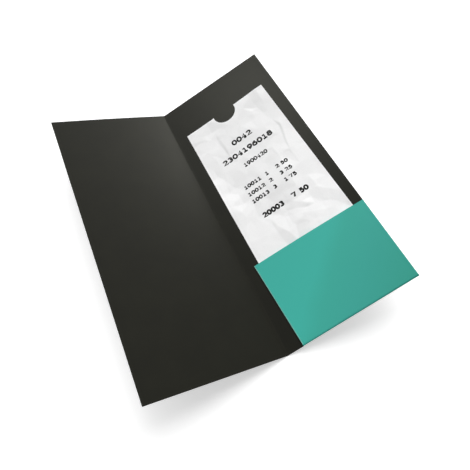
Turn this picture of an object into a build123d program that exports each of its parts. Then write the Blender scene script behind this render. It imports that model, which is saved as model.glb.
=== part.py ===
from build123d import *
import os
from math import atan2, cos, degrees, hypot, radians, sin, tan

# Guest check presenter: a creased card folder with a glued pocket and a loose paper slip.
# The row frame: +Y runs along the crease towards the head of the folder, +X points to the
# back cover's free edge and +Z is up. The folder lies half open on its crease, both covers
# raised by the same angle. The origin is under the middle of the crease, on the table.

# ---------------------------------------------------------------- driving dimensions, mm
# the folded sheet
panel_width = 99.0            # each cover, from the hinge axis to its free edge
panel_height = 245.0          # each cover, along the crease
card_thickness = 0.45         # matt laminated board of about 350 g per square metre
cover_lift = 20.8             # degrees each cover is raised off the table
hinge_clearance = 0.03        # between the crease's bead and the cover that turns about it
crease_groove = 0.25          # half width of the scored groove under the bead
closed_gap_angle = 11.0       # degrees left between the covers when the front one is shut
flat_angle = 180.0            # degrees between the covers when the folder lies open

# the pocket, measured in the back cover's plane from the hinge axis and the bottom edge
pocket_inset_bottom = 12.2    # spine-side edge at the bottom fold
pocket_inset_top = 8.1        # spine-side edge at the mouth
pocket_height = 65.5          # mouth height on the free side
mouth_rise = 1.3              # how much higher the mouth is on the spine side
tab_width = 11.0              # glue tab turned under at each side
tab_relief = 2.5              # tab ends stop this far short of the bottom fold and the mouth
tab_taper = 3.0               # how far a tab's free edge is cut back at each end
glue_thickness = 0.10
glue_margin = 1.5             # bare border of tab round the adhesive

# the slip
slip_gap_inner = 0.9          # foot of the slip from the pocket's edge on the spine side
slip_gap_outer = 6.4          # and on the free side, which leaves 79.5 mm: 80 mm till roll
slip_length = 205.0
slip_thickness = 0.10
slip_foot = 3.0               # foot of the slip above the bottom edge of the pocket
slip_tilt = 1.1               # degrees the slip leans towards the spine
slip_over_tab = 0.15          # clearance between the slip and the glue tabs under it
slip_under_pocket = 0.20      # clearance between the slip and the pocket front over it
notch_radius = 10.3           # thumb notch in the slip's top edge
notch_sink = 0.8              # centre of the notch below the top edge

# ---------------------------------------------------------------- worked out from them
bead_radius = card_thickness
hinge_height = bead_radius
tab_bottom = glue_thickness
tab_top = tab_bottom + card_thickness
pocket_height_inner = pocket_height + mouth_rise
slip_width = panel_width - pocket_inset_bottom - slip_gap_inner - slip_gap_outer
slip_middle = pocket_inset_bottom + slip_gap_inner + slip_width / 2
slip_bottom = tab_top + slip_over_tab
pocket_back = slip_bottom + slip_thickness + slip_under_pocket
pocket_face = pocket_back + card_thickness
bottom_fold_radius = (pocket_face + card_thickness) / 2
side_fold_radius = (pocket_face - tab_bottom) / 2
pocket_lean = degrees(atan2(pocket_inset_bottom - pocket_inset_top, pocket_height_inner))
pocket_edge_length = hypot(pocket_inset_bottom - pocket_inset_top, pocket_height_inner)

# the covers' own planes: local x from the hinge axis, local y up from the bottom edge and
# local z up from the inner face
back_plane = Plane(
    origin=(0, -panel_height / 2, hinge_height),
    x_dir=(cos(radians(cover_lift)), 0, sin(radians(cover_lift))),
    z_dir=(-sin(radians(cover_lift)), 0, cos(radians(cover_lift))),
)
front_plane = Plane(
    origin=(0, -panel_height / 2, hinge_height),
    x_dir=(cos(radians(cover_lift)), 0, -sin(radians(cover_lift))),
    z_dir=(sin(radians(cover_lift)), 0, cos(radians(cover_lift))),
)


def block(x_low, x_high, y_low, y_high, z_low, z_high):
    """A box between two corners."""
    size = (x_high - x_low, y_high - y_low, z_high - z_low)
    return Pos(x_low, y_low, z_low) * Box(*size, align=(Align.MIN, Align.MIN, Align.MIN))


def prism(points, z_low, z_high):
    """A flat plate with the outline that the points give."""
    outline = make_face(Polyline(*points, close=True))
    return Pos(0, 0, z_low) * extrude(outline, z_high - z_low)


def rod_along_y(radius, length):
    """A round bar on the hinge axis, from the bottom edge upwards."""
    return Pos(0, length / 2, 0) * Rot(90, 0, 0) * Cylinder(radius, length)


# ---------------------------------------------------------------- the pocket's outline
pocket_outline = [
    (pocket_inset_bottom, 0),
    (panel_width, 0),
    (panel_width, pocket_height),
    (pocket_inset_top, pocket_height_inner),
]
pocket_prism = prism(pocket_outline, -card_thickness, pocket_face)

# frames of the two upright folds: local y runs up the fold's outer edge and local x points
# into the pocket
inner_edge = Location((pocket_inset_bottom, 0, 0), (0, 0, pocket_lean))
outer_edge = Location((panel_width, 0, 0), (0, 0, 180))


def side_band(z_low, z_high, depth, start=0.0):
    """A straight band beside an upright fold, longer than the pocket at both ends."""
    over = pocket_edge_length + panel_width
    return block(start, start + depth, -over, over, z_low, z_high)


def side_fold(edge):
    """Half a tube of card, from the tab under the pocket round to the pocket front."""
    length = 2 * (pocket_edge_length + panel_width)
    centre = Pos(side_fold_radius, 0, (tab_bottom + pocket_face) / 2) * Rot(90, 0, 0)
    tube = Cylinder(side_fold_radius, length) - Cylinder(side_fold_radius - card_thickness, length)
    half = (centre * tube) & side_band(tab_bottom, pocket_face, side_fold_radius)
    above_bottom_fold = block(
        -panel_width, 2 * panel_width, bottom_fold_radius, panel_height, -card_thickness, pocket_face
    )
    return (edge * half) & pocket_prism & above_bottom_fold


def glue_tab(edge_length, side):
    """A tab's plan in its fold's frame, with both ends cut at a slant towards its free edge.

    side is 1 where the frame's y runs up the pocket and -1 where it runs down.
    """
    foot = bottom_fold_radius + tab_relief
    head = edge_length - tab_relief
    near = side_fold_radius
    far = side_fold_radius + tab_width
    return [
        (near, side * foot),
        (far, side * (foot + tab_taper)),
        (far, side * (head - tab_taper)),
        (near, side * head),
    ]


def glue_strip(edge_length, side):
    """The adhesive's plan: the tab's, drawn in by the bare border all round."""
    foot = bottom_fold_radius + tab_relief + glue_margin
    head = edge_length - tab_relief - glue_margin
    near = side_fold_radius + glue_margin
    far = side_fold_radius + tab_width - glue_margin
    return [
        (near, side * foot),
        (far, side * (foot + tab_taper)),
        (far, side * (head - tab_taper)),
        (near, side * head),
    ]


# ---------------------------------------------------------------- covers and crease
# Each cover is a flat panel, hollowed beside the hinge axis to seat the crease's bead.
cover_start = crease_groove
bottom_band = block(
    pocket_inset_bottom, panel_width + 1, -1, bottom_fold_radius, -2 * card_thickness, card_thickness
)

back_cover = block(cover_start, panel_width, 0, panel_height, -card_thickness, 0)
back_cover -= rod_along_y(bead_radius, panel_height)
back_cover -= bottom_band

front_cover = block(-panel_width, -cover_start, 0, panel_height, -card_thickness, 0)
front_cover -= rod_along_y(bead_radius + hinge_clearance, panel_height)

spine_fold = rod_along_y(bead_radius, panel_height)

# ---------------------------------------------------------------- pocket
over_width = 2 * panel_width
bottom_centre = Pos(0, bottom_fold_radius, (pocket_face - card_thickness) / 2) * Rot(0, 90, 0)
bottom_tube = Cylinder(bottom_fold_radius, 2 * over_width)
bottom_tube -= Cylinder(bottom_fold_radius - card_thickness, 2 * over_width)
bottom_strip = block(
    pocket_inset_bottom, panel_width, 0, bottom_fold_radius, -card_thickness, pocket_face
)
pocket_bottom_fold = (bottom_centre * bottom_tube) & bottom_strip

pocket_front = prism(pocket_outline, pocket_back, pocket_face)
pocket_front -= inner_edge * side_band(pocket_back, pocket_face, 2 * side_fold_radius, -side_fold_radius)
pocket_front -= outer_edge * side_band(pocket_back, pocket_face, 2 * side_fold_radius, -side_fold_radius)
pocket_front -= block(0, panel_width, 0, bottom_fold_radius, pocket_back, pocket_face)

pocket_inner_fold = side_fold(inner_edge)
pocket_outer_fold = side_fold(outer_edge)

inner_glue_tab = inner_edge * prism(glue_tab(pocket_edge_length, 1), tab_bottom, tab_top)
outer_glue_tab = outer_edge * prism(glue_tab(pocket_height, -1), tab_bottom, tab_top)
inner_glue_strip = inner_edge * prism(glue_strip(pocket_edge_length, 1), 0, tab_bottom)
outer_glue_strip = outer_edge * prism(glue_strip(pocket_height, -1), 0, tab_bottom)

# ---------------------------------------------------------------- slip
slip_place = Location((slip_middle, slip_foot, slip_bottom), (0, 0, slip_tilt))
slip_sheet = block(-slip_width / 2, slip_width / 2, 0, slip_length, 0, slip_thickness)
notch = Pos(0, slip_length - notch_sink, slip_thickness / 2) * Cylinder(notch_radius, 2 * slip_thickness)
check_slip = slip_place * (slip_sheet - notch)

# ---------------------------------------------------------------- write the sub-parts
on_back_cover = {
    "back_cover": back_cover,
    "spine_fold": spine_fold,
    "pocket_front": pocket_front,
    "pocket_bottom_fold": pocket_bottom_fold,
    "pocket_inner_fold": pocket_inner_fold,
    "pocket_outer_fold": pocket_outer_fold,
    "inner_glue_tab": inner_glue_tab,
    "outer_glue_tab": outer_glue_tab,
    "inner_glue_strip": inner_glue_strip,
    "outer_glue_strip": outer_glue_strip,
    "check_slip": check_slip,
}
os.makedirs("parts", exist_ok=True)
for name, shape in on_back_cover.items():
    export_step(back_plane.location * shape, f"parts/{name}.step")
export_step(front_plane.location * front_cover, "parts/front_cover.step")

opened = flat_angle - 2 * cover_lift
print(f"front cover: shut at {opened - closed_gap_angle:.1f} degrees, flat at {opened - 180:.1f}")
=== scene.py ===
import math
import random

import bpy
from mathutils import Matrix, Vector, geometry
from mathutils.bvhtree import BVHTree


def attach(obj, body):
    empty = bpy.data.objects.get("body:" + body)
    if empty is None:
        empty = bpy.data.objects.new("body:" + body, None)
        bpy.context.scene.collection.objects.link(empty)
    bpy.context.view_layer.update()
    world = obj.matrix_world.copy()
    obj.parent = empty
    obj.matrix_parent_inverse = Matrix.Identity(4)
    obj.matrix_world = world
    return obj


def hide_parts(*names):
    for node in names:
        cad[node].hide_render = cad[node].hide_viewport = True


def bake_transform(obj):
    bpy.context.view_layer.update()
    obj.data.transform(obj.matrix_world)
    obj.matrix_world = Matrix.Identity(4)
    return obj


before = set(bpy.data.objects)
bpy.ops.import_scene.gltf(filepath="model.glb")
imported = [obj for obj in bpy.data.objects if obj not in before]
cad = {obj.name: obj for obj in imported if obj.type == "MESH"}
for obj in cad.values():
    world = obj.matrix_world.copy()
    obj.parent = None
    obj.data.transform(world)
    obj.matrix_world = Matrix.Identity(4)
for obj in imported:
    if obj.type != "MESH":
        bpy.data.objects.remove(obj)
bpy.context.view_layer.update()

mm = 0.001

# ---------------------------------------------------------------- camera
# A moderate wide lens held above the foot of the folder and turned left of the crease,
# so that both covers run up the frame and the free corner of the back one is highest.
picture_side = 470                      # pixels, each way
focal_length = 492.1                    # pixels
lens_centre = (243.63, 204.64)          # pixels, across and down
camera_place = (-0.05562, -0.20940, 0.32242)
camera_turn = (34.72, 2.62, -24.62)     # degrees about X, Y and Z

bpy.ops.object.camera_add(location=camera_place, rotation=[math.radians(a) for a in camera_turn])
camera = bpy.context.object
camera.name = "camera"
camera.data.sensor_width = 36.0
camera.data.lens = focal_length / picture_side * camera.data.sensor_width
camera.data.shift_x = (picture_side / 2 - lens_centre[0]) / picture_side
camera.data.shift_y = (lens_centre[1] - picture_side / 2) / picture_side
camera.data.clip_start = 10 * mm
bpy.context.scene.camera = camera
bpy.context.scene.view_settings.view_transform = "Standard"

# ---------------------------------------------------------------- table and studio light
# A white table top that keeps only a soft shadow, an even white room, two very broad lamps, one
# at the back and one overhead, and three small ones whose glance gives the card its sheen.


def linear(colour):
    """An sRGB hex colour as linear red, green, blue and alpha."""
    channels = [int(colour[i:i + 2], 16) / 255 for i in (0, 2, 4)]
    return [c / 12.92 if c <= 0.04045 else ((c + 0.055) / 1.055) ** 2.4 for c in channels] + [1.0]


def add_node(material, kind, settings=None, links=None, stops=()):
    """Adds a node to a material. A setting is one of its own properties or an input's value, a
    link joins one of its inputs to another node's output, and stops are a colour ramp's colours
    as (place from 0 to 1, sRGB hex)."""
    node = material.node_tree.nodes.new(kind)
    for name, value in (settings or {}).items():
        if isinstance(name, int) or name in node.inputs:
            node.inputs[name].default_value = value
        else:
            setattr(node, name, value)
    for name, output in (links or {}).items():
        material.node_tree.links.new(output, node.inputs[name])
    while stops and len(node.color_ramp.elements) < len(stops):
        node.color_ramp.elements.new(0.5)
    for i, (position, colour) in enumerate(stops):
        node.color_ramp.elements[i].position = position
        node.color_ramp.elements[i].color = linear(colour)
    return node


def dress(piece, material):
    """Gives a piece one material in place of any that it has."""
    piece.data.materials.clear()
    piece.data.materials.append(material)


def new_material(name):
    """A material with an empty node tree."""
    material = bpy.data.materials.new(name)
    material.use_nodes = True
    material.node_tree.nodes.clear()
    return material


def seen_directly(material):
    """1 for rays from the camera and for those off metal or through glass, and 0 for the rest."""
    ray = add_node(material, "ShaderNodeLightPath").outputs
    seen = ray["Is Camera Ray"]
    for kind in ("Is Glossy Ray", "Is Transmission Ray"):
        either = add_node(material, "ShaderNodeMath", {"operation": "MAXIMUM"}, {0: seen, 1: ray[kind]})
        seen = either.outputs[0]
    return seen


table_side = 12.0
table_glow = 0.50             # seen directly only: it keeps the shadow soft
bpy.ops.mesh.primitive_plane_add(size=table_side)
table = bpy.context.object
table.name = "table_top"

# matt white lacquer: a plain white field without a reflection
table_paint = new_material("white_lacquered_table")
table_matt = add_node(table_paint, "ShaderNodeBsdfDiffuse", {"Color": linear("e9e9e9")})
table_white = add_node(
    table_paint, "ShaderNodeMath", {"operation": "MULTIPLY", 1: table_glow},
    {0: seen_directly(table_paint)},
)
table_light = add_node(table_paint, "ShaderNodeEmission", links={"Strength": table_white.outputs[0]})
table_sum = add_node(
    table_paint, "ShaderNodeAddShader", links={0: table_matt.outputs[0], 1: table_light.outputs[0]}
)
add_node(table_paint, "ShaderNodeOutputMaterial", links={"Surface": table_sum.outputs[0]})
dress(table, table_paint)

room_level = 0.256            # what the room adds to the light; seen directly it is plain white
room = bpy.data.worlds.new("white_room")
room.use_nodes = True
room.node_tree.nodes.clear()
bpy.context.scene.world = room
room_step = add_node(
    room, "ShaderNodeMapRange", {"To Min": room_level, "To Max": 1.0}, {"Value": seen_directly(room)}
)
room_air = add_node(
    room, "ShaderNodeBackground", {"Color": linear("ffffff")}, {"Strength": room_step.outputs["Result"]}
)
add_node(room, "ShaderNodeOutputWorld", links={"Surface": room_air.outputs[0]})

# share of a white card's brightness, and spread and lean about X and Y in degrees
softboxes = {
    "back_softbox": (0.562, 90.0, -45.0, 0.0),
    "overhead_softbox": (0.527, 60.0, -30.0, 30.0),
}
softbox_height = 2.0
for lamp_name, (share, spread, lean_back, lean_right) in softboxes.items():
    turn = (math.radians(lean_back), math.radians(lean_right), 0)
    bpy.ops.object.light_add(type="SUN", location=(0, 0, softbox_height), rotation=turn)
    lamp = bpy.context.object
    lamp.name = lamp_name
    lamp.data.energy = share * math.pi
    lamp.data.angle = math.radians(spread)
    lamp.visible_glossy = False

# place and watts
rim_lamps = {
    "left_rim_lamp": ((-0.292, 1.098, 1.200), 8.4),
    "middle_rim_lamp": ((0.617, 1.066, 0.695), 0.72),
    "right_rim_lamp": ((1.153, 1.278, 0.467), 10.9),
}
rim_lamp_size = 0.30
rim_tint = (1.0, 1.0, 0.90)
for lamp_name, (place, watts) in rim_lamps.items():
    aim = (-Vector(place)).to_track_quat("-Z", "Y").to_euler()
    bpy.ops.object.light_add(type="AREA", location=place, rotation=aim)
    lamp = bpy.context.object
    lamp.name = lamp_name
    lamp.data.shape = "DISK"
    lamp.data.size = rim_lamp_size
    lamp.data.energy = watts
    lamp.data.color = rim_tint
    lamp.visible_diffuse = False

# ---------------------------------------------------------------- covers
# The folder is one die-cut sheet of board of about 350 g per square metre, printed charcoal
# and sealed on both sides with matt film, and creased down the middle. Each half is a cover.
panel_width = 99.0 * mm         # from the hinge axis to the free edge
panel_height = 245.0 * mm
card_thickness = 0.45 * mm
cover_lift = math.radians(20.8)
hinge_height = 0.45 * mm
crease_reach = 1.0 * mm         # how far from the axis the crease's curve runs
cut_easing = 0.06 * mm          # the die rounds the cut edges by this much
curl_at_head = 0.40 * mm        # how far the front cover bows up between crease and free edge
curl_at_foot = -0.12 * mm
fold_allowance = 0.95 * mm      # the bottom fold takes this much of the back cover's foot
pocket_inset = 12.2 * mm        # spine side of the pocket at the bottom fold
cover_grid = (22, 54)           # faces across and up a cover


def select_only(piece):
    """Leaves one object selected and active."""
    bpy.ops.object.select_all(action="DESELECT")
    piece.select_set(True)
    bpy.context.view_layer.objects.active = piece


def pick(piece, kind, wanted):
    """Goes into edit mode with the vertices, edges or faces selected for which wanted is true."""
    select_only(piece)
    bpy.ops.object.mode_set(mode="EDIT")
    bpy.ops.mesh.select_mode(type=kind)
    bpy.ops.mesh.select_all(action="DESELECT")
    bpy.ops.object.mode_set(mode="OBJECT")
    parts = {"VERT": piece.data.vertices, "EDGE": piece.data.edges, "FACE": piece.data.polygons}
    for part in parts[kind]:
        part.select = wanted(part)
    bpy.ops.object.mode_set(mode="EDIT")


def shade_smooth(piece, sharp_over):
    """Shades a piece smooth, but for the edges that turn more than sharp_over degrees."""
    select_only(piece)
    bpy.ops.object.shade_smooth_by_angle(angle=math.radians(sharp_over))


def apply_modifier(piece, kind, **settings):
    """Adds a modifier and applies it."""
    select_only(piece)
    modifier = piece.modifiers.new(kind.title(), kind)
    for name, value in settings.items():
        setattr(modifier, name, value)
    bpy.ops.object.modifier_apply(modifier=modifier.name)


def sheet_grid(name, columns, rows, shape):
    """A sheet of card or paper as a grid. shape gives a point's place from its shares of the way
    across and up, 0 to 1."""
    bpy.ops.mesh.primitive_grid_add(x_subdivisions=columns, y_subdivisions=rows, size=2)
    piece = bpy.context.object
    piece.name = name
    for vertex in piece.data.vertices:
        vertex.co = shape((vertex.co.x + 1) / 2, (vertex.co.y + 1) / 2)
    return piece


def stand_on_cover(piece, side):
    """Turns a piece that was made flat up to a cover's slope: side is 1 for the back cover and -1
    for the front one."""
    on_table = Matrix.Translation((0, -panel_height / 2, hinge_height))
    piece.matrix_world = on_table @ Matrix.Rotation(-side * cover_lift, 4, "Y")
    select_only(piece)
    bpy.ops.object.transform_apply(location=True, rotation=True, scale=True)


def ease_cut_edges(piece, is_cut):
    """Rounds the edges between a flat card's faces and its rim, where is_cut(middle) is true."""
    rim = set()
    flat = set()
    for face in piece.data.polygons:
        upright = abs(face.normal.z) < 0.5
        (rim if upright else flat).update(face.edge_keys)

    def wanted(edge):
        a, b = [piece.data.vertices[i].co for i in edge.vertices]
        return edge.key in rim and edge.key in flat and is_cut((a + b) / 2)

    pick(piece, "EDGE", wanted)
    bpy.ops.mesh.bevel(offset=cut_easing, segments=2, affect="EDGES", clamp_overlap=True)
    bpy.ops.object.mode_set(mode="OBJECT")


def card_cover(name, side):
    """One cover, made flat with its inner face at z = 0, from the crease out to its free edge."""

    def shape(across, up):
        x = crease_reach + (panel_width - crease_reach) * across
        curl = (curl_at_foot + (curl_at_head - curl_at_foot) * up) * math.sin(math.pi * across)
        return Vector((side * x, panel_height * up, curl if side < 0 else 0))

    piece = sheet_grid(name, *cover_grid, shape)
    if side < 0:
        pick(piece, "FACE", lambda face: True)
        bpy.ops.mesh.flip_normals()
        bpy.ops.object.mode_set(mode="OBJECT")
    apply_modifier(piece, "SOLIDIFY", thickness=card_thickness, offset=-1)
    return piece


front_cover_board = card_cover("front_cover_board", -1)
back_cover_board = card_cover("back_cover_board", 1)

# the bottom fold starts short of the back cover's foot, from the pocket's spine side outwards
bpy.ops.mesh.primitive_cube_add(
    size=1,
    location=(pocket_inset + panel_width / 2, fold_allowance - panel_height / 2, 0),
    scale=(panel_width, panel_height, 10 * card_thickness),
)
fold_cutter = bpy.context.object
bpy.ops.object.transform_apply(location=True, rotation=False, scale=True)
apply_modifier(back_cover_board, "BOOLEAN", object=fold_cutter, operation="DIFFERENCE", solver="EXACT")
bpy.data.objects.remove(fold_cutter)

for board, side in ((front_cover_board, -1), (back_cover_board, 1)):
    ease_cut_edges(board, lambda middle: abs(middle.x) > crease_reach + cut_easing)
    stand_on_cover(board, side)
    shade_smooth(board, sharp_over=15)

# matt film over solid print: an even colour, faintly cloudy as the board takes the ink, with a
# wide soft sheen that the board's fibres break up a little
film_gloss = 0.096
cloud_size = 18 * mm
cloud_weight = 0.12             # how much the cloud adds where the painted shade also moves the colour
fibre_size = 0.9 * mm
fibre_relief = 0.04 * mm
fibre_roughness = 0.03          # how far the fibres move the film's roughness


def matt_card(name, film_rough, inks, painted_shading=None):
    """Printed board under matt film. inks gives the print's colours as a ramp's stops, which
    follow the cloud. The last argument, where given, is a direction and the places along it where
    the first and the last colour stand: painted shade, lighter at one end and darker at the other
    as the light falls off across the card."""
    card = new_material(name)
    on_object = add_node(card, "ShaderNodeTexCoord").outputs["Object"]
    cloud = add_node(
        card, "ShaderNodeTexNoise", {"Scale": 1 / cloud_size, "Detail": 3.0, "Roughness": 0.55},
        {"Vector": on_object},
    ).outputs["Fac"]
    fibre = add_node(
        card, "ShaderNodeTexNoise", {"Scale": 1 / fibre_size, "Detail": 4.0, "Roughness": 0.6},
        {"Vector": on_object},
    ).outputs["Fac"]
    ink_and_shade_weight = cloud
    # painted shade: along this direction the colour moves down the ramp, lighter at one end and darker
    # at the other
    if painted_shading:
        direction, start, end = painted_shading
        along = add_node(
            card, "ShaderNodeVectorMath", {"operation": "DOT_PRODUCT", 1: direction}, {0: on_object}
        )
        painted_shade_weight = add_node(
            card, "ShaderNodeMapRange", {"From Min": start, "From Max": end},
            {"Value": along.outputs["Value"]},
        )
        clouded = add_node(
            card, "ShaderNodeMath",
            {"operation": "MULTIPLY_ADD", 1: cloud_weight, 2: -cloud_weight / 2}, {0: cloud},
        )
        both = add_node(
            card, "ShaderNodeMath", {"operation": "ADD"},
            {0: painted_shade_weight.outputs["Result"], 1: clouded.outputs[0]},
        )
        ink_and_shade_weight = both.outputs[0]
    tone = add_node(card, "ShaderNodeValToRGB", links={"Fac": ink_and_shade_weight}, stops=inks)
    relief = add_node(
        card, "ShaderNodeBump", {"Strength": 0.12, "Distance": fibre_relief}, {"Height": fibre}
    )
    rough = add_node(
        card, "ShaderNodeMapRange",
        {"To Min": film_rough - fibre_roughness, "To Max": film_rough + fibre_roughness},
        {"Value": fibre},
    )
    film = add_node(
        card, "ShaderNodeBsdfPrincipled", {"Specular IOR Level": film_gloss},
        {
            "Base Color": tone.outputs["Color"],
            "Roughness": rough.outputs["Result"],
            "Normal": relief.outputs["Normal"],
        },
    )
    add_node(card, "ShaderNodeOutputMaterial", links={"Surface": film.outputs["BSDF"]})
    return card


# charcoal: nearly black and a touch warm, so that only its sheen shows the slope of the covers
charcoal_inks = [(0.3, "181812"), (0.7, "1b1b14")]
charcoal_card = matt_card("charcoal_matt_laminated_card", 0.39, charcoal_inks)
boards = (
    (front_cover_board, "cover", "front_cover"),
    (back_cover_board, "holder", "back_cover"),
)
for board, body, node in boards:
    dress(board, charcoal_card)
    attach(board, body)
    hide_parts(node)

# ---------------------------------------------------------------- crease
# The scored line that both covers turn about: the rule pressed the card from outside, so a
# low bead stands up inside the fold, and the outside is drawn round it.
crease_bead_height = 0.20 * mm
crease_bead_width = 0.35 * mm
crease_points = 56


def crease_profile():
    """The card's section across the fold, anticlockwise, across and up from the hinge axis."""
    slope_x, slope_z = math.cos(cover_lift), math.sin(cover_lift)
    steps = crease_points // 4
    points = []
    for i in range(steps + 1):              # outside of the front cover, towards the fold
        d = crease_reach * (1 - i / steps)
        points.append((-d * slope_x - card_thickness * slope_z, d * slope_z - card_thickness * slope_x))
    for i in range(1, steps):               # round the fold
        turn = -cover_lift + 2 * cover_lift * i / steps
        points.append((card_thickness * math.sin(turn), -card_thickness * math.cos(turn)))
    for i in range(steps + 1):              # outside of the back cover
        d = crease_reach * i / steps
        points.append((d * slope_x + card_thickness * slope_z, d * slope_z - card_thickness * slope_x))
    inside = crease_points - len(points)
    for i in range(inside):                 # inner face, back over the bead
        d = crease_reach * (1 - 2 * i / (inside - 1))
        bead = crease_bead_height * math.exp(-((d / crease_bead_width) ** 2))
        points.append((d * slope_x, abs(d) * slope_z + bead))
    return points


crease_section = crease_profile()
bpy.ops.mesh.primitive_cylinder_add(
    vertices=crease_points, radius=1, depth=panel_height, rotation=(math.pi / 2, 0, 0)
)
crease_strip = bpy.context.object
crease_strip.name = "crease_strip"
bpy.ops.object.transform_apply(location=True, rotation=True, scale=True)
for vertex in crease_strip.data.vertices:
    turn = math.atan2(vertex.co.z, vertex.co.x) % (2 * math.pi)
    x, z = crease_section[round(turn / (2 * math.pi) * crease_points) % crease_points]
    vertex.co.x, vertex.co.z = x, hinge_height + z
select_only(crease_strip)
bpy.ops.object.mode_set(mode="EDIT")
bpy.ops.mesh.select_all(action="SELECT")
bpy.ops.mesh.normals_make_consistent(inside=False)
bpy.ops.object.mode_set(mode="OBJECT")
shade_smooth(crease_strip, sharp_over=40)
dress(crease_strip, charcoal_card)
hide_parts("spine_fold")
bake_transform(crease_strip)

# ---------------------------------------------------------------- pocket
# The flap below the back cover is folded up over its foot and glued down by a tab turned
# under at each side. Its face is teal, and its mouth stands a little open in the middle.
pocket_height = 65.5 * mm           # mouth on the free side
pocket_height_inner = 66.8 * mm     # mouth on the spine side
pocket_inset_top = 8.1 * mm
pocket_face = 1.45 * mm             # above the cover's inner face
side_fold_radius = 0.675 * mm
mouth_gape = 0.8 * mm
pocket_grid = (30, 24)              # faces across and up the panel
spine_slant = (pocket_inset_top - pocket_inset) / pocket_height_inner
mouth_slant = (pocket_height - pocket_height_inner) / (panel_width - pocket_inset_top)
eased_above = 40 * mm               # the mouth is cut, and the other three sides run into folds
eased_between = (10 * mm, 98 * mm)


def spine_side(y):
    """Where the panel meets its fold on the spine side, at a height up the cover."""
    return pocket_inset + spine_slant * y + side_fold_radius * math.hypot(1, spine_slant)


def mouth(x):
    """How high the mouth is, at a place across the cover."""
    return pocket_height_inner + mouth_slant * (x - pocket_inset_top)


def pocket_shape(across, up):
    free_side = panel_width - side_fold_radius
    x = spine_side(pocket_height)
    for _ in range(2):                  # the mouth and the spine side both slant
        y = fold_allowance + (mouth(x) - fold_allowance) * up
        x = spine_side(y) + (free_side - spine_side(y)) * across
    bulge = mouth_gape * (1 - (2 * across - 1) ** 2) * up ** 2
    return Vector((x, y, pocket_face + bulge))


def on_mouth(middle):
    return middle.y > eased_above and eased_between[0] < middle.x < eased_between[1]


pocket_panel = sheet_grid("pocket_panel", *pocket_grid, pocket_shape)
apply_modifier(pocket_panel, "SOLIDIFY", thickness=card_thickness, offset=-1)
ease_cut_edges(pocket_panel, on_mouth)
stand_on_cover(pocket_panel, 1)
shade_smooth(pocket_panel, sharp_over=15)

# teal: a clean mid blue-green under the same film, with painted shade over it: lighter towards
# the spine and head, darker towards the pocket's outer bottom corner, where less light falls;
# round the side fold by the spine the crown is painted lighter, a painted highlight where the
# fold catches the light, over a little whitening of the stretched film
teal_inks_and_painted_shade = [(0.05, "42b2a4"), (0.23, "40aa9b"), (0.53, "3fa598"), (1.0, "3a9d8d")]
teal_shading_length = 94 * mm
across_less_up = (1 / math.cos(cover_lift), -1, 0)
teal_painted_shading = (across_less_up, panel_height / 2, panel_height / 2 + teal_shading_length)
teal_card = matt_card("teal_matt_laminated_card", 0.42, teal_inks_and_painted_shade, teal_painted_shading)
# painted highlight: the fold's crown is coloured lighter where it catches the light, over a little real
# whitening of the stretched film
fold_highlight_inks = [(0.3, "7cc9ba"), (0.7, "8fd3c6")]
teal_fold_highlight = matt_card("teal_card_fold_painted_highlight", 0.45, fold_highlight_inks)

dress(pocket_panel, teal_card)
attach(pocket_panel, "holder")
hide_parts("pocket_front")

pocket_card = {
    "pocket_bottom_fold": teal_card,
    "pocket_inner_fold": teal_fold_highlight,
    "pocket_outer_fold": teal_card,
    "inner_glue_tab": teal_card,
    "outer_glue_tab": teal_card,
}
for name, finish in pocket_card.items():
    dress(cad[name], finish)

# white glue dried clear: a yellowish film, thicker and paler where the brush left ridges
ridge_spacing = 2.5 * mm
ridge_height = 0.05 * mm
glue_tones = [(0.35, "d9d2b8"), (0.65, "ece8da")]
glue = new_material("dried_white_glue")
on_object = add_node(glue, "ShaderNodeTexCoord").outputs["Object"]
ridges = add_node(
    glue, "ShaderNodeTexNoise", {"Scale": 1 / ridge_spacing, "Detail": 3.0}, {"Vector": on_object}
).outputs["Fac"]
glue_tone = add_node(glue, "ShaderNodeValToRGB", links={"Fac": ridges}, stops=glue_tones)
glue_relief = add_node(
    glue, "ShaderNodeBump", {"Strength": 0.4, "Distance": ridge_height}, {"Height": ridges}
)
glue_film = add_node(
    glue, "ShaderNodeBsdfPrincipled", {"Roughness": 0.35},
    {"Base Color": glue_tone.outputs["Color"], "Normal": glue_relief.outputs["Normal"]},
)
add_node(glue, "ShaderNodeOutputMaterial", links={"Surface": glue_film.outputs["BSDF"]})
for strip in ("inner_glue_strip", "outer_glue_strip"):
    dress(cad[strip], glue)

# ---------------------------------------------------------------- slip
# A till slip torn off an 80 mm roll of white paper, with a thumb notch punched in its head.
# It has been crumpled and smoothed out again, so it lies in shallow facets, and flat only
# where the pocket holds it.
slip_middle = 52.85 * mm
slip_foot = 3.0 * mm
slip_width = 79.5 * mm
slip_length = 205.0 * mm
slip_thickness = 0.10 * mm
slip_bottom = 0.70 * mm
slip_tilt = math.radians(1.1)
notch_radius = 10.3 * mm
notch_sink = 1.4 * mm
notch_shift = -0.7 * mm
notch_sides = 96
paper_step = 0.7 * mm           # between the sheet's rows and between its columns
loft = 0.25                     # mm: mean height of the loose part over the held one
lowest = -0.55                  # mm: it stays clear of the cover below
held_zone = (42, 57)            # mm up the slip: flat below the first, and loose over the second
rising_zone = (50, 110)         # mm up the slip: the loose part rises to its loft
width_lost = 0.018              # share of its width that the crumpling takes up at its head
length_lost = 0.1               # mm
fold_softening = 0.3            # how far the sheet's own stiffness rounds the folds
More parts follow.
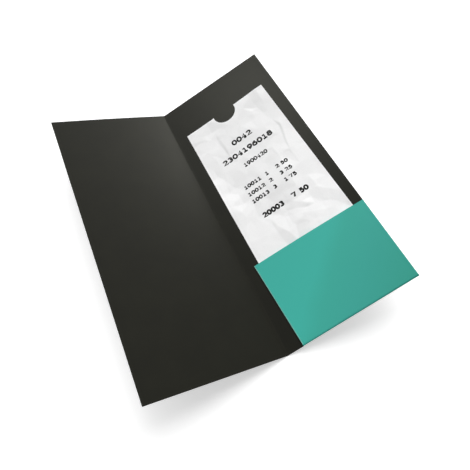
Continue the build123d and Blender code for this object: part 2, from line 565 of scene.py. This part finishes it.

# The folds pressed into the paper, as lines of corners. Each gives the paper's height over its
# mean level at its first corner and at its last, and its corners across and up the cover, all in
# mm. Two lines side by side are a narrow band between a valley and a ridge. The heights weren't
# found by hand: they were typed in after those that a fit of the paper's shading had solved, and
# most stay within 0.05 mm of them.
fold_lines = [
    # slack left of the notch, and the fold that runs down from it
    (-0.3, -0.45, [(22, 199), (23.5, 188.5)]),
    (-0.35, -0.4, [(22, 174), (16.5, 193)]),
    (-0.5, -0.65, [(15.5, 160), (16, 152.5)]),
    (-0.45, -0.5, [(30, 195.5), (31, 187), (31, 179), (32, 170), (33, 163)]),
    (-0.35, -0.3, [(32.5, 192), (33, 186), (33.5, 178), (34, 169.5)]),
    (-0.25, -0.2, [(38.5, 190), (38.5, 173), (46, 166)]),
    # from the notch to the free corner, which curls up
    (-0.1, 0.15, [(44.5, 193.5), (48.5, 187.5), (53, 190), (57, 194)]),
    (0.05, 0.05, [(61.5, 186), (66, 177), (62, 172)]),
    (0.25, -0.05, [(64, 198), (68.5, 190), (68.5, 183.5), (69, 171)]),
    (0.0, -0.25, [(70.5, 192.5), (75, 189.5), (76, 183), (77, 177), (79.5, 170.5)]),
    (0.3, 0.05, [(74.5, 205), (74.5, 197)]),
    (0.2, -0.15, [(82, 193), (79.5, 180.5)]),
    # the long fold by the free side
    (-0.4, -0.1, [(81, 162), (80, 156), (79, 151), (77.5, 144), (76, 136)]),
    (-0.2, 0.0, [(85, 169.5), (83, 162.5), (82, 156.5), (80.5, 151), (79, 144)]),
    (-0.2, -0.1, [(74.5, 157), (69, 150), (66.5, 147)]),
    (-0.25, -0.05, [(73.5, 146), (73.5, 138)]),
    (-0.15, -0.05, [(70.5, 142), (68, 136)]),
    # the hollow beside the spine, with its edge turned up
    (-0.6, -0.6, [(19.5, 146), (23, 136), (24, 127), (24, 117.5)]),
    (-0.7, -0.55, [(29, 128), (31, 117), (29, 100)]),
    (-0.4, 0.25, [(17.5, 132.5), (14.5, 119.5)]),
    (-0.2, -0.25, [(19.5, 111), (20.5, 104.5)]),
    # low swells in the middle
    (-0.3, -0.3, [(62, 150), (44, 147), (50, 128)]),
    (0.05, 0.2, [(49.5, 111), (53.5, 112.5), (60, 112.5)]),
    (-0.4, 0.0, [(41, 111), (45, 103.5), (49.5, 103), (54, 105.5), (60, 105.5)]),
    (0.4, 0.2, [(66, 120), (66, 106)]),
    (-0.05, -0.05, [(77.5, 136), (78, 120)]),
    (-0.25, -0.55, [(77.5, 107.5), (84, 104)]),
    # two folds that climb towards the pocket on the spine side
    (-0.1, -0.15, [(20, 79), (28, 82)]),
    (-0.4, 0.3, [(35, 88), (35.5, 80.5), (37, 67.5)]),
    (-0.4, 0.55, [(36.5, 91.5), (37.5, 84.5), (40, 80.5), (43.5, 74)]),
    (-0.55, 0.2, [(42.5, 93.5), (45, 89.5), (48.5, 86), (48.5, 81)]),
    (0.5, 0.35, [(45, 67.5), (47.5, 68)]),
    # the ridge above the pocket's middle
    (0.25, 0.4, [(52.5, 84.5), (50, 77), (49.5, 67.5)]),
    (0.5, 0.55, [(54.5, 79), (60, 74)]),
    (0.5, 0.4, [(66.5, 69), (66, 78.5)]),
    (0.5, 0.1, [(60, 81.5), (75, 75)]),
    # the broad slanting fold over it
    (-0.45, -0.3, [(49, 96.5), (50, 91)]),
    (0.0, 0.25, [(56, 89), (62, 85.5)]),
    (0.25, -0.05, [(65, 84.5), (70, 81.5), (74.5, 79)]),
    (0.0, 0.4, [(57, 95.5), (62.5, 91), (66, 87)]),
    # the fold that leaves it for the free side
    (0.05, -0.45, [(70, 84), (73, 83.5), (77.5, 81), (81, 79.5), (84.5, 75.5), (88, 70)]),
    (-0.15, -0.05, [(70.5, 96), (70.5, 90.5)]),
    (-0.1, -0.1, [(79, 95.5), (79, 88.5), (78, 83.5)]),
    (-0.25, 0.0, [(84.5, 88), (80.5, 73), (75, 67.5)]),
    # the slip's edges: spine side, free side, head, and where the pocket takes hold of it
    (0.4, -0.3, [(9.5, 212), (9, 192)]),
    (-0.4, -0.4, [(9, 170), (9.5, 152)]),
    (0.0, 0.45, [(9.5, 136), (9.5, 118)]),
    (-0.2, 0.1, [(10, 104), (10, 85), (10, 62)]),
    (0.4, -0.6, [(92, 212), (91.5, 190), (91.5, 165), (92, 150)]),
    (-0.6, -0.6, [(92, 135), (92.5, 120), (92.5, 106), (93, 94)]),
    (-0.35, 0.1, [(93, 80), (93, 69), (93, 60)]),
    (-0.2, -0.3, [(30, 212), (48, 212)]),
    (-0.2, 0.8, [(62, 212), (74.5, 212), (82, 212)]),
    (0.25, 0.0, [(24, 60), (37.5, 60), (46.5, 60)]),
    (0.45, 0.35, [(52, 60), (66, 60)]),
    (0.0, 0.1, [(74.5, 60), (84, 60)]),
]
fold_corners = []
for first, last, line in fold_lines:
    for step, (x, y) in enumerate(line):
        on_slip = Matrix.Rotation(-slip_tilt, 2) @ Vector((x - slip_middle / mm, y - slip_foot / mm))
        fold_corners.append((on_slip.x, on_slip.y, first + (last - first) * step / (len(line) - 1)))

# smaller facets all over, at random, in mm from the middle of the slip's foot
fine_spacing = 7.5
fine_scatter = 0.4              # of the spacing, each way
fine_height = 0.10
fine_columns = range(-6, 7)
fine_rows = range(7, 29)
random.seed(11)
fine_corners = []
for column in fine_columns:
    for row in fine_rows:
        fine_corners.append((
            (column + random.uniform(-fine_scatter, fine_scatter)) * fine_spacing,
            (row + random.uniform(-fine_scatter, fine_scatter)) * fine_spacing,
            random.uniform(-fine_height, fine_height),
        ))

net_sides = (-90, 90)           # mm, well outside the slip
net_ends = (-20, 280)
same_place = 1e-6
over_the_folds = 10             # mm


def facet_net(corners):
    """A surface of flat facets with its corners at the given places, in mm."""
    corners = corners + [(x, y, 0.0) for x in net_sides for y in net_ends]
    flat_corners = [Vector(corner[:2]) for corner in corners]
    faces = geometry.delaunay_2d_cdt(flat_corners, [], [], 0, same_place)[2]
    return BVHTree.FromPolygons(corners, faces)


facet_nets = [facet_net(fold_corners), facet_net(fine_corners)]


def crumple(x, y):
    """Height of the paper over its mean level, in mm, at a place on the slip in mm."""
    start = Vector((x, y, over_the_folds))
    return sum(net.ray_cast(start, Vector((0, 0, -1)))[0].z for net in facet_nets)


def eased(value, start, end):
    """0 up to start and 1 from end on, and smooth between them."""
    t = min(1.0, max(0.0, (value - start) / (end - start)))
    return t * t * (3 - 2 * t)


def slip_shape(across, up):
    x = (across - 0.5) * slip_width / mm
    y = up * slip_length / mm
    free = eased(y, *held_zone)
    z = loft * eased(y, *rising_zone)
    if free > 0:
        z += free * crumple(x, y)
    z = max(lowest, z)
    x *= 1 - width_lost * free * up
    y -= length_lost * free * up
    return Vector((x * mm, y * mm, slip_thickness + z * mm))


slip_columns = round(slip_width / paper_step)
slip_rows = round(slip_length / paper_step)
paper_slip = sheet_grid("paper_slip", slip_columns, slip_rows, slip_shape)
pick(paper_slip, "VERT", lambda vertex: True)
bpy.ops.mesh.vertices_smooth(factor=fold_softening, repeat=1, xaxis=False, yaxis=False)
bpy.ops.object.mode_set(mode="OBJECT")
apply_modifier(paper_slip, "SOLIDIFY", thickness=slip_thickness, offset=-1)
bpy.ops.mesh.primitive_cylinder_add(
    vertices=notch_sides, radius=notch_radius, depth=2 * notch_radius,
    location=(notch_shift, slip_length - notch_sink, 0),
)
punch = bpy.context.object
bpy.ops.object.transform_apply(location=True, rotation=True, scale=True)
apply_modifier(paper_slip, "BOOLEAN", object=punch, operation="DIFFERENCE", solver="EXACT")
bpy.data.objects.remove(punch)

# uncoated paper: clean white without a gloss, its pulp a barely seen tooth, so that the folds
# show as flat facets in slightly different greys
pulp_size = 0.7 * mm
pulp_height = 0.05 * mm
pulp_tones = [(0.3, "f3f3f3"), (0.7, "f8f8f8")]
paper = new_material("uncoated_till_paper")
on_object = add_node(paper, "ShaderNodeTexCoord").outputs["Object"]
pulp = add_node(
    paper, "ShaderNodeTexNoise", {"Scale": 1 / pulp_size, "Detail": 4.0}, {"Vector": on_object}
).outputs["Fac"]

# the paper's own height over the cover, read back as relief: it sharpens the folds that the
# sheet's mesh can only round off
fold_emphasis = 1.5
cover_normal = (-math.sin(cover_lift), 0, math.cos(cover_lift))
over_cover = add_node(
    paper, "ShaderNodeVectorMath", {"operation": "DOT_PRODUCT", 1: cover_normal}, {0: on_object}
)
fold_relief = add_node(
    paper, "ShaderNodeBump", {"Strength": 1.0, "Distance": fold_emphasis},
    {"Height": over_cover.outputs["Value"]},
)
pulp_relief = add_node(
    paper, "ShaderNodeBump", {"Strength": 0.15, "Distance": pulp_height},
    {"Height": pulp, "Normal": fold_relief.outputs["Normal"]},
)
pulp_tone = add_node(paper, "ShaderNodeValToRGB", links={"Fac": pulp}, stops=pulp_tones)
sheet = add_node(
    paper, "ShaderNodeBsdfPrincipled", {"Roughness": 0.8, "Specular IOR Level": 0.2},
    {"Base Color": pulp_tone.outputs["Color"], "Normal": pulp_relief.outputs["Normal"]},
)
add_node(paper, "ShaderNodeOutputMaterial", links={"Surface": sheet.outputs["BSDF"]})


def stand_slip(piece):
    """Puts a piece that was made flat on the slip's own axes into the pocket."""
    in_pocket = Matrix.Translation((slip_middle, slip_foot, slip_bottom))
    piece.matrix_world = in_pocket @ Matrix.Rotation(slip_tilt, 4, "Z")
    select_only(piece)
    bpy.ops.object.transform_apply(location=True, rotation=True, scale=True)
    stand_on_cover(piece, 1)


flat_paper = BVHTree.FromObject(paper_slip, bpy.context.evaluated_depsgraph_get())
stand_slip(paper_slip)
shade_smooth(paper_slip, sharp_over=50)
dress(paper_slip, paper)
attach(paper_slip, "slip")
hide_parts("check_slip")

# ---------------------------------------------------------------- numbers printed on the slip
# The till's print: typewriter figures in black ink, with slab feet and round-ended strokes.
# The heading and the total are heavier. The ink stands a few hundredths of a millimetre up.
ink_height = 0.03 * mm
ink_soaked = 0.6                # of that height again, into the paper
figure_width = 0.95             # of the pitch
same_point = 1e-6               # a stroke that ends this near its start is closed
weld_distance = 0.001 * mm
over_the_slip = 20 * mm


def arc(cx, cy, rx, ry, start, stop, steps=9):
    """Points round part of an ellipse, angles in degrees."""
    turn = [math.radians(start + (stop - start) * i / steps) for i in range(steps + 1)]
    return [(cx + rx * math.cos(a), cy + ry * math.sin(a)) for a in turn]


# each figure's strokes as lines of points, in a box one wide and one high
figures = {
    "0": [arc(0.5, 0.5, 0.37, 0.5, 0, 360, 18)],
    "1": [[(0.18, 0.84), (0.52, 1.0), (0.52, 0.0)], [(0.14, 0.0), (0.9, 0.0)]],
    "2": [arc(0.48, 0.7, 0.33, 0.3, 165, -35) + [(0.12, 0.0), (0.88, 0.0), (0.88, 0.14)]],
    "3": [arc(0.46, 0.76, 0.3, 0.24, 150, -90), arc(0.44, 0.26, 0.37, 0.26, 90, -145)],
    "4": [[(0.62, 0.0), (0.62, 1.0), (0.1, 0.33), (0.88, 0.33)], [(0.38, 0.0), (0.86, 0.0)]],
    "5": [[(0.8, 1.0), (0.22, 1.0), (0.2, 0.55)] + arc(0.46, 0.33, 0.37, 0.33, 125, -145)],
    "6": [arc(0.5, 0.32, 0.35, 0.32, 0, 360, 16), arc(0.83, 0.32, 0.68, 0.68, 180, 96)],
    "7": [[(0.14, 0.84), (0.14, 1.0), (0.84, 1.0), (0.42, 0.0)]],
    "8": [arc(0.5, 0.76, 0.29, 0.24, 0, 360, 14), arc(0.5, 0.27, 0.35, 0.27, 0, 360, 16)],
    "9": [arc(0.5, 0.68, 0.35, 0.32, 0, 360, 16), arc(0.17, 0.68, 0.68, 0.68, 0, -84)],
}
# the heading and the total: figures, start of the base line on the slip, height, pitch and
# stroke, all in mm
number_lines = [
    ("0042", -9.65, 166.9, 5.5, 4.85, 1.50),
    ("2304196018", -24.8, 154.6, 5.4, 4.82, 1.50),
    ("1900420", -10.8, 142.4, 4.1, 3.2, 1.05),
    ("20003", -18.9, 93.4, 4.9, 3.75, 1.50),
    ("7", 7.4, 93.4, 5.2, 4.2, 1.65),
    ("50", 14.3, 93.4, 4.9, 3.7, 1.50),
]
# the items between them, by how high up the slip each stands
items = {
    124.1: ("10011", "1", "2", "50"),
    116.7: ("10012", "2", "3", "25"),
    109.4: ("10013", "3", "1", "75"),
}
item_columns = (-20.2, -0.4, 9.6, 14.4)
item_shift = -0.1               # mm that each line starts left of the one over it
item_size = (3.8, 3.16, 1.12)
for row, (base_line, item) in enumerate(items.items()):
    for text, column in zip(item, item_columns):
        number_lines.append((text, column + item_shift * row, base_line, *item_size))

lines_of_print = []
for text, start_x, start_y, height, pitch, stroke in number_lines:
    curve = bpy.data.curves.new("figures", "CURVE")
    curve.dimensions = "3D"
    curve.bevel_depth = stroke / 2 * mm
    curve.bevel_resolution = 1
    curve.use_fill_caps = True
    for position, figure in enumerate(text):
        for points in figures[figure]:
            closed = math.dist(points[0], points[-1]) < same_point
            used = points[:-1] if closed else points
            spline = curve.splines.new("POLY")
            spline.points.add(len(used) - 1)
            spline.use_cyclic_u = closed
            for point, (px, py) in zip(spline.points, used):
                x = start_x + pitch * (position + (px - 0.5) * figure_width + 0.5)
                y = start_y + stroke / 2 + py * (height - stroke)
                point.co = (x * mm, y * mm, 0, 1)
    line_of_figures = bpy.data.objects.new("figures", curve)
    bpy.context.collection.objects.link(line_of_figures)
    select_only(line_of_figures)
    bpy.ops.object.convert(target="MESH")
    lines_of_print.append(bpy.context.object)
select_only(lines_of_print[0])
for line_of_figures in lines_of_print:
    line_of_figures.select_set(True)
bpy.ops.object.join()
printed_numbers = bpy.context.object
printed_numbers.name = "printed_numbers"
pick(printed_numbers, "VERT", lambda vertex: True)
bpy.ops.mesh.remove_doubles(threshold=weld_distance)
bpy.ops.mesh.normals_make_consistent(inside=False)
bpy.ops.object.mode_set(mode="OBJECT")

# the round strokes are pressed flat and laid over the paper's folds
thickest = max(abs(vertex.co.z) for vertex in printed_numbers.data.vertices)
for vertex in printed_numbers.data.vertices:
    start = Vector((vertex.co.x, vertex.co.y, over_the_slip))
    hit = flat_paper.ray_cast(start, Vector((0, 0, -1)))[0]
    level = (1 - ink_soaked) / 2 + (1 + ink_soaked) / 2 * vertex.co.z / thickest
    vertex.co.z = hit.z + ink_height * level

# ribbon ink: it takes unevenly on the paper's fibres, so the black is thinner and drier in specks
speck_size = 0.4 * mm
ink_tones = [(0.40, "050505"), (0.75, "1e1e1e")]
ink = new_material("black_ribbon_ink")
on_object = add_node(ink, "ShaderNodeTexCoord").outputs["Object"]
specks = add_node(
    ink, "ShaderNodeTexNoise", {"Scale": 1 / speck_size, "Detail": 3.0}, {"Vector": on_object}
).outputs["Fac"]
ink_tone = add_node(ink, "ShaderNodeValToRGB", links={"Fac": specks}, stops=ink_tones)
ink_rough = add_node(ink, "ShaderNodeMapRange", {"To Min": 0.5, "To Max": 0.75}, {"Value": specks})
ink_coat = add_node(
    ink, "ShaderNodeBsdfPrincipled", {"Specular IOR Level": 0.2},
    {"Base Color": ink_tone.outputs["Color"], "Roughness": ink_rough.outputs["Result"]},
)
add_node(ink, "ShaderNodeOutputMaterial", links={"Surface": ink_coat.outputs["BSDF"]})

stand_slip(printed_numbers)
shade_smooth(printed_numbers, sharp_over=60)
dress(printed_numbers, ink)
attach(printed_numbers, "slip")
